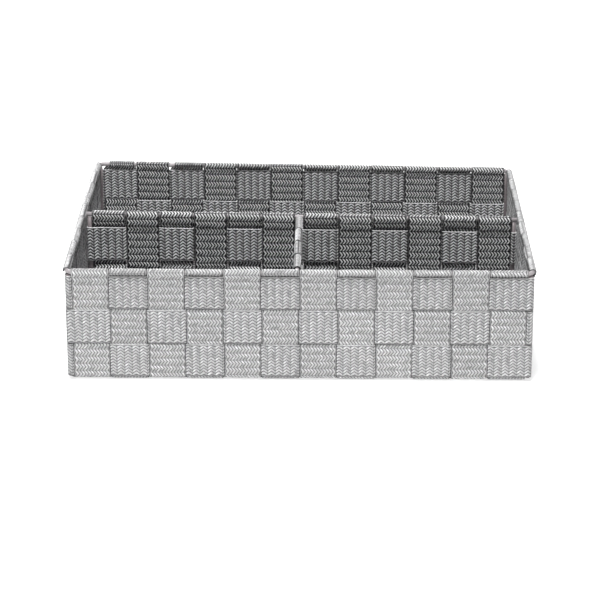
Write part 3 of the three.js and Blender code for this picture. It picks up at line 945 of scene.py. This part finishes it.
@dataclass(frozen=True)
class Basket:
    """The sizes that all sub-assemblies share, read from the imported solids.

    The foot's reach and height are given for a strap that starts on the outer side, then for one
    on the inner side. Only the inner one has a foot corner, given as outward and up.
    """

    fold_reach: float = 2.7 * MM
    fold_start: int = -8
    fold_end: int = 221
    arc_step: int = 12
    half_thickness: float = 0.575 * MM
    wire_radius: float = 1.5 * MM
    solid_wire_sides: int = 8
    step: float = 0.6 * MM
    base_middle: float = 1.26 * MM
    foot_reaches: Pair = (1.6 * MM, 2.6 * MM)
    foot_heights: Pair = (3.4 * MM, 3.2 * MM)
    foot_corner: Pair = (0.7 * MM, 1.2 * MM)
    flare: float = 1.6 * MM
    fuller: float = 1.1 * MM
    tuck: float = -0.003
    loose_tuck: float = 0.2
    loose_shift: float = 1.9 * MM
    loose_straps: tuple[int, ...] = (0, 2)
    crossing: float = 0.8 * MM
    crown: float = 0.14 * MM
    crown_profile: tuple[Pair, ...] = ((-1, 0.75), (0, 1.0), (1, 0.75))
    softness: float = 0.45 * MM
    band_names: tuple[str, ...] = ("lower_band", "middle_band", "upper_band")

    @property
    def lengthways(self) -> list[Span]:
        """The runs of the front-to-back straps, from the left."""
        return spans(numbered("front_to_back_strap_"), 0)

    @property
    def crossways(self) -> list[Span]:
        """The runs of the side-to-side straps, from the front."""
        return spans(numbered("side_to_side_strap_"), 1)

    @property
    def bands(self) -> list[Span]:
        """The runs of the wall bands, from the lowest up."""
        return spans(list(self.band_names), 2)

    @property
    def wall_x(self) -> float:
        """The middle of the left and right walls, from the middle of the organizer."""
        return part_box("side_to_side_strap_1")[1].x - self.fold_reach

    @property
    def wall_y(self) -> float:
        """The middle of the front and back walls."""
        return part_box("front_to_back_strap_1")[1].y - self.fold_reach

    @property
    def rim_z(self) -> float:
        """The height of the rim wire's middle."""
        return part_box("front_to_back_strap_1")[1].z - self.fold_reach

    @property
    def post(self) -> Vector:
        """The middle of the corner post at the back right."""
        low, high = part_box("corner_post_back_right")
        return (low + high) / 2

    @property
    def flat_radius(self) -> float:
        """How far a solid wire reaches from its middle, to the flats between its edges."""
        return self.wire_radius * math.cos(math.pi / self.solid_wire_sides)

    def side_on_base(self, strap: int, crossing: int, lengthways: bool) -> Side:
        """Says which face of the base a strap lies on at a crossing, from the straps' numbers."""
        return Side.INNER if ((strap + crossing) % 2 == 0) == lengthways else Side.OUTER

    def weave_line(
        self, runs: list[Span], sides: list[Side], level: float = 0.0, crowned: bool = True
    ) -> Line:
        """Draws a strip over and under a row of others.

        Args:
            runs: The strips that it crosses, in order.
            sides: Its side at each.
            level: The middle of the wall, with outward as plus.
            crowned: Whether it also swells outward on its outer side.

        Returns:
            Points along and outward, from the first strip's middle to the last one's.
        """
        points = []
        for k, (run, side) in enumerate(zip(runs, sides)):
            quarter = (run.high - run.low) / 4
            swell = self.crown if crowned or side is Side.INNER else 0.0
            for shift, share in self.crown_profile:
                out = level + side.value * (self.step + share * swell)
                points.append((run.middle + shift * quarter, out))
            if k + 1 < len(runs):
                slot = (run.high + runs[k + 1].low) / 2
                points.append((slot - self.crossing, level + side.value * self.step))
                points.append((slot + self.crossing, level + sides[k + 1].value * self.step))
        return points

    def arc(self, side: Side, start: int, end: int) -> Line:
        """Draws the webbing's middle round a wire, from one angle to before another.

        Args:
            side: The side that it starts on, in its first direction.
            start: The first angle, in degrees.
            end: The angle before which it ends.

        Returns:
            Points from the wire's middle, in the first and the second direction.
        """
        radius = self.fold_reach - self.half_thickness
        angles = np.radians(np.arange(start, end, self.arc_step))
        return [(side.value * radius * math.cos(a), radius * math.sin(a)) for a in angles]

    def fold(self, side: Side, height: float, up: int = 1, last: int | None = None) -> Line:
        """Draws the fold of a strap over a wire.

        Args:
            side: The side that the strap comes up on.
            height: The height of the wire's middle.
            up: One over the wire, minus one under it.
            last: The angle before which the fold ends, in degrees, if not as on the rim.

        Returns:
            Points outward and up, from the flare to the tucked end.
        """
        arc = self.arc(side, self.fold_start, last or self.fold_end)
        return [(out, height + up * rise) for out, rise in arc]

    def wall_run(self, first_base_side: Side) -> Line:
        """Draws a strap's way up one wall.

        Args:
            first_base_side: Its side at the base strap nearest to the wall.

        Returns:
            Points outward and up, from the foot to the tucked end.
        """
        side = first_base_side.other
        inner = side is Side.INNER
        level = side.value * self.step
        foot = [(level - self.foot_reaches[inner], self.base_middle + level)]
        if inner:
            foot.append((level - self.foot_corner[0], self.foot_corner[1]))
        foot.append((level, self.foot_heights[inner]))
        bands = self.bands
        sides = [side if k % 2 == 0 else side.other for k in range(len(bands))]
        climb = [(out, up) for up, out in self.weave_line(bands, sides)]
        flare = [(sides[-1].value * self.step, bands[-1].high - self.flare)]
        return foot + climb + flare + self.fold(sides[-1], self.rim_z)


@dataclass
class BasketStraps:
    """The straps that cross the base and climb two walls."""

    basket: Basket
    loom: Loom

    def line(self, wall: float, crossed: list[Span], sides: list[Side]) -> Line:
        """Draws the whole centre line of one strap.

        Args:
            wall: The middle of the walls that it climbs.
            crossed: The base straps that it crosses.
            sides: Its side at each.

        Returns:
            Points along the base and up.
        """
        basket = self.basket
        low = [(-wall - out, up) for out, up in basket.wall_run(sides[0])]
        high = [(wall + out, up) for out, up in basket.wall_run(sides[-1])]
        flat = basket.weave_line(crossed, sides, crowned=False)
        base = [(along, basket.base_middle - out) for along, out in flat]
        return low[::-1] + base + high

    def build(self) -> None:
        """Weaves the straps in both directions."""
        basket = self.basket
        long, short = basket.lengthways, basket.crossways
        for prefix, runs, crossed, wall, across, along in (
            ("front_to_back_strap_", long, short, basket.wall_y, X_AXIS, Y_AXIS),
            ("side_to_side_strap_", short, long, basket.wall_x, Y_AXIS, X_AXIS),
        ):
            lengthways = runs is long
            for k, run in enumerate(runs):
                sides = [basket.side_on_base(k, j, lengthways) for j in range(len(crossed))]
                path = StripPath(self.line(wall, crossed, sides), basket.softness)
                plane = Plane(across * run.middle, along, Z_AXIS)
                loose = lengthways and k in basket.loose_straps
                tucks = (basket.tuck, basket.loose_tuck if loose else basket.tuck)
                shift = basket.loose_shift if loose else 0.0
                width = run.widened(basket.fuller)
                self.loom.weave(f"{prefix}{k + 1}", path, plane, width, tucks, shift)


@dataclass
class WallBands:
    """The bands that run round the four walls, over and under the straps."""

    basket: Basket
    loom: Loom
    corner_step: float = 1.6 * MM
    corner_angle: int = 15
    post_inset: float = 0.9 * MM
    rim_clearance: float = 0.7 * MM
    foot_clearance: float = 1.0 * MM

    def stretch(self, runs: list[Span], sides: list[Side], end: float) -> Line:
        """Draws a band along one wall.

        Args:
            runs: The straps of that wall.
            sides: The band's side at each.
            end: Where the corner starts, from the middle of the wall.

        Returns:
            Points along the wall and outward.
        """
        step = self.basket.step
        points = self.basket.weave_line(runs, sides)
        if sides[0] is Side.INNER:
            points = [(-end, step), (-end + self.corner_step, -step)] + points
        if sides[-1] is Side.INNER:
            points = points + [(end - self.corner_step, -step), (end, step)]
        return points

    def corner(self, sign_x: int, sign_y: int, start: float) -> Line:
        """Draws a band round a corner post.

        Args:
            sign_x: The side of the organizer that the corner is on.
            sign_y: Minus one at the front.
            start: The direction in which the corner's arc starts, in degrees.

        Returns:
            Points in the plane of the floor.
        """
        post = self.basket.post
        reach = self.basket.wall_x - post.x + self.basket.step
        middle_x, middle_y = sign_x * post.x, sign_y * post.y
        angles = np.radians(start + np.arange(0, 91, self.corner_angle))
        return [(middle_x + reach * math.cos(a), middle_y + reach * math.sin(a)) for a in angles]

    def line(self, row: int) -> Line:
        """Draws a band's whole centre line, from the front wall to the right and on round.

        Args:
            row: The number of the band, from the lowest.

        Returns:
            Points in the plane of the floor.
        """
        basket = self.basket
        line = []
        for wall, corner in enumerate(((1, -1), (1, 1), (-1, 1), (-1, -1))):
            lengthways = wall % 2 == 0
            runs, crossed = basket.lengthways, basket.crossways
            middle, end = basket.wall_y, basket.post.x - self.post_inset
            if not lengthways:
                runs, crossed = crossed, runs
                middle, end = basket.wall_x, basket.post.y - self.post_inset
            sign, edge = (1, len(crossed) - 1) if wall in (1, 2) else (-1, 0)
            sides = [basket.side_on_base(k, edge, lengthways) for k in range(len(runs))]
            stretch = self.stretch(runs, [s if row % 2 == 0 else s.other for s in sides], end)
            for along, out in stretch if wall < 2 else stretch[::-1]:
                point = (along, sign * (middle + out))
                line.append(point if lengthways else point[::-1])
            line += self.corner(*corner, 90 * (wall - 1))
        return line

    def build(self) -> None:
        """Weaves the three bands."""
        basket = self.basket
        for row, (name, band) in enumerate(zip(basket.band_names, basket.bands)):
            path = StripPath(self.line(row), basket.softness, closed=True)
            over = self.rim_clearance if name == "upper_band" else 0.0
            under = self.foot_clearance if name == "lower_band" else 0.0
            plane = Plane(Z_AXIS * (band.middle + (under - over) / 2), X_AXIS, Y_AXIS)
            width = band.widened(basket.fuller - over - under)
            self.loom.weave(name, path, plane, width, band=True)


@dataclass
class Divider:
    """One woven divider: a top wire, a frame wire, straps folded over both and two bands."""

    basket: Basket
    loom: Loom
    paint: bpy.types.Material
    # A darker copy of the paint: painted shade on the frame wire.
    shaded_paint: bpy.types.Material
    name: str
    along: Vector
    frame_bend: float = 2.8 * MM
    fuller: float = 0.9 * MM
    tuck: float = -0.014
    hook_turn: int = 228
    wire_gap: float = 0.8 * MM
    fold_end: int = 185
    lead: float = 1.2 * MM
    flare: float = 0.8 * MM
    tail: Pair = (0.05 * MM, 0.5 * MM)

    @property
    def axis(self) -> int:
        """The number of the axis that the divider runs along."""
        return 0 if abs(self.along.x) > 0.5 else 1

    @property
    def outward(self) -> Vector:
        """The direction that its outer side looks in."""
        return Z_AXIS.cross(self.along)

    @property
    def middle(self) -> Vector:
        """A point on the divider's middle plane, on the floor."""
        low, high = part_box(self.name + "_top_wire")
        point = (low + high) / 2
        point.z = 0.0
        point[self.axis] = 0.0
        return point

    def weave_straps(self) -> list[Side]:
        """Weaves the upright straps.

        Returns:
            The side of each strap at the top.
        """
        basket = self.basket
        names = numbered(self.name + "_strap_")
        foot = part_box(names[0])[0].z + basket.fold_reach
        bands = spans([f"{self.name}_{row}_band" for row in ("lower", "upper")], 2)
        edge = bands[1].high + self.fuller / 2
        sides = []
        for k, (name, run) in enumerate(zip(names, spans(names, self.axis))):
            side = Side.OUTER if k % 2 == 0 else Side.INNER
            sides.append(side)
            level = side.value * basket.step
            low = basket.fold(side.other, foot, up=-1)[::-1] + [(-level, bands[0].low + self.lead)]
            climb = [(out, up) for up, out in basket.weave_line(bands, [side.other, side])]
            flare = [(level, edge - self.lead), (2 * level, edge + self.flare)]
            tail = [(-side.value * self.tail[0], edge + self.tail[1])]
            line = low + climb + flare + basket.fold(side, basket.rim_z, last=self.fold_end) + tail
            plane = Plane(self.middle + self.along * run.middle, self.outward, Z_AXIS)
            path = StripPath(line, basket.softness)
            self.loom.weave(name, path, plane, run.widened(self.fuller), (0.0, self.tuck))
        return sides

    def hook(self, side: Side, post: float, end: int) -> Line:
        """Draws a band's hook round a post, from the band to its tip.

        Args:
            side: The band's side beside the post.
            post: The post's place along the divider.
            end: Minus one at the first end, one at the last.

        Returns:
            Points along and outward.
        """
        arc = self.basket.arc(side, 0, self.hook_turn + 1)
        return [(post + end * along, out) for out, along in arc]

    def weave_bands(self, sides: list[Side]) -> None:
        """Weaves the two bands, each hooked round the posts at its ends.

        Args:
            sides: The side of each strap at the top.
        """
        basket = self.basket
        runs = spans(numbered(self.name + "_strap_"), self.axis)
        low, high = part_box(self.name + "_frame_wire")
        posts = (low[self.axis] + basket.flat_radius, high[self.axis] - basket.flat_radius)
        for row in ("upper", "lower"):
            name = f"{self.name}_{row}_band"
            own = [side.other if row == "upper" else side for side in sides]
            line = self.hook(own[0], posts[0], -1)[::-1] + basket.weave_line(runs, own)
            line += self.hook(own[-1], posts[1], 1)
            band = spans([name], 2)[0]
            plane = Plane(self.middle + Z_AXIS * band.middle, self.along, self.outward)
            path = StripPath(line, basket.softness)
            self.loom.weave(name, path, plane, band.widened(self.fuller), band=True)

    def bend_wires(self) -> None:
        """Draws the top wire and the frame wire."""
        basket, name, axis = self.basket, self.name, self.axis
        low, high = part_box(name + "_top_wire")
        first = low[axis] + self.wire_gap
        start = self.middle + Z_AXIS * basket.rim_z + self.along * first
        top = WireBender(start, self.along, basket.wire_radius)
        top.pull(high[axis] - self.wire_gap - first).finish(name + "_top_wire", self.paint)
        low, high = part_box(name + "_frame_wire")
        shrink, bend = basket.flat_radius, self.frame_bend
        start = self.middle + self.along * (low[axis] + shrink) + Z_AXIS * high.z
        across = high[axis] - low[axis] - 2 * shrink - 2 * bend
        down = high.z - low.z - shrink - bend
        wire = WireBender(start, -Z_AXIS, basket.wire_radius)
        wire.pull(down).bend(self.along, bend).pull(across).bend(Z_AXIS, bend).pull(down)
        wire.finish(name + "_frame_wire", self.shaded_paint)

    def build(self) -> None:
        """Makes the whole divider."""
        self.bend_wires()
        self.weave_bands(self.weave_straps())


@dataclass
class WireFrame:
    """The rim wire, the base wire and the four corner posts."""

    basket: Basket
    paint: bpy.types.Material
    # A darker copy of the paint: painted shade on the posts.
    shaded_paint: bpy.types.Material
    rim_bend: float = 5.63 * MM
    base_bend: float = 3.87 * MM

    def hoop(self, node: str, bend: float) -> None:
        """Draws a rectangular hoop, welded in the middle of the back.

        Args:
            node: The CAD node that it replaces.
            bend: The radius of its four bends.
        """
        low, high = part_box(node)
        half_x = high.x - self.basket.flat_radius
        half_y = high.y - self.basket.flat_radius
        start = Vector((0, half_y, (low.z + high.z) / 2))
        wire = WireBender(start, -X_AXIS, self.basket.wire_radius)
        side_x = half_x - bend
        side_y = 2 * (half_y - bend)
        wire.pull(side_x).bend(-Y_AXIS, bend).pull(side_y).bend(X_AXIS, bend).pull(2 * side_x)
        wire.bend(Y_AXIS, bend).pull(side_y).bend(-X_AXIS, bend).pull(side_x)
        wire.finish(node, self.paint, closed=True)

    def build(self) -> None:
        """Draws the hoops and the posts."""
        self.hoop("rim_wire", self.rim_bend)
        self.hoop("base_wire", self.base_bend)
        for name in sorted(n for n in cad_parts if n.startswith("corner_post_")):
            low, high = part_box(name)
            start = (low + high) / 2
            start.z = low.z
            post = WireBender(start, Z_AXIS, self.basket.wire_radius)
            post.pull(high.z - low.z).finish(name, self.shaded_paint)


# Studio


@dataclass(frozen=True)
class Softbox:
    """One square area lamp, aimed at the organizer."""

    name: str
    place: Place
    size: float
    power: float

    def build(self) -> None:
        """Hangs the lamp."""
        lamp = bpy.data.lights.new(self.name, "AREA")
        lamp.size = self.size
        lamp.energy = self.power
        held = bpy.data.objects.new(self.name, lamp)
        held.location = self.place
        held.rotation_euler = (-Vector(self.place)).to_track_quat("-Z", "Y").to_euler()
        bpy.context.scene.collection.objects.link(held)


@dataclass
class Studio:
    """A white floor, soft lamps and the camera."""

    camera_place: Place = (20.7 * MM, -1660.4 * MM, 604.3 * MM)
    camera_yaw: float = math.radians(0.753)
    camera_pitch: float = math.radians(19.545)
    focal_length: float = 145.1
    sensor: float = 36.0
    view_range: Pair = (0.05, 20.0)
    floor_radius: float = 6.0
    floor_sides: int = 64
    floor_colour: Colour = (0.9, 0.9, 0.9)
    floor_glow: float = 0.75
    ambient: float = 0.03
    lamps: tuple[Softbox, ...] = (
        Softbox("overhead_softbox", (-0.08, -0.42, 1.65), 0.35, 30.0),
        Softbox("front_softbox", (0.2, -4.0, 0.2), 0.4, 51.0),
        Softbox("back_softbox", (-0.6, 1.5, 0.9), 0.5, 20.0),
    )

    def floor(self) -> None:
        """Lays the floor: white to the camera, with the organizer's soft shadow."""
        bm = bmesh.new()
        sides, radius = self.floor_sides, self.floor_radius
        bmesh.ops.create_circle(bm, cap_ends=True, segments=sides, radius=radius)
        mesh = bpy.data.meshes.new("floor")
        bm.to_mesh(mesh)
        bm.free()
        material = bpy.data.materials.new("white_floor")
        nodes = NodeTree(material)
        matt = nodes.add("BsdfDiffuse", Color=(*self.floor_colour, 1.0))
        glow = nodes.math("MULTIPLY", nodes.seen(), self.floor_glow)
        glow = nodes.add("Emission", Color=WHITE, Strength=glow)
        nodes.surface("AddShader", matt.outputs[0], glow.outputs[0])
        mesh.materials.append(material)
        floor = bpy.data.objects.new("floor", mesh)
        bpy.context.scene.collection.objects.link(floor)

    def world(self) -> None:
        """Sets the even light from all round, and a white background."""
        world = bpy.data.worlds.new("white_room")
        nodes = NodeTree(world)
        strength = nodes.spread(nodes.seen(), WHOLE, (self.ambient, 1.0))
        nodes.surface("Background", Color=WHITE, Strength=strength)
        bpy.context.scene.world = world

    def camera(self) -> None:
        """Sets the camera where the photograph was taken from."""
        lens = bpy.data.cameras.new("camera")
        lens.lens = self.focal_length
        lens.sensor_width = self.sensor
        lens.clip_start, lens.clip_end = self.view_range
        held = bpy.data.objects.new("camera", lens)
        held.location = self.camera_place
        held.rotation_euler = (math.pi / 2 - self.camera_pitch, 0.0, self.camera_yaw)
        bpy.context.scene.collection.objects.link(held)
        bpy.context.scene.camera = held

    def build(self) -> None:
        """Sets up the whole studio."""
        bpy.context.scene.view_settings.view_transform = "Standard"
        self.camera()
        self.floor()
        self.world()
        for lamp in self.lamps:
            lamp.build()


def main() -> None:
    """Builds the studio and each sub-assembly in turn."""
    logging.basicConfig(level=logging.INFO, format="%(name)s: %(message)s")
    Studio().build()
    basket = Basket()
    loom = Loom(Herringbone(), WebbingFinish())
    paint = PaintedWireFinish().material()
    # A darker copy of the paint, as painted shade, for the posts and the dividers' frame wires.
    shaded_paint = PaintedWireFinish(
        "painted_wire_in_painted_shade", paint=(0.3, 0.265, 0.275), thin_paint=(0.21, 0.185, 0.19)
    ).material()
    WireFrame(basket, paint, shaded_paint).build()
    BasketStraps(basket, loom).build()
    WallBands(basket, loom).build()
    Divider(basket, loom, paint, shaded_paint, "long_divider", X_AXIS).build()
    Divider(basket, loom, paint, shaded_paint, "short_divider", Y_AXIS, tuck=0.12).build()
    log.info("webbing: %d triangles", loom.triangles)


if __name__ == "__main__":
    main()
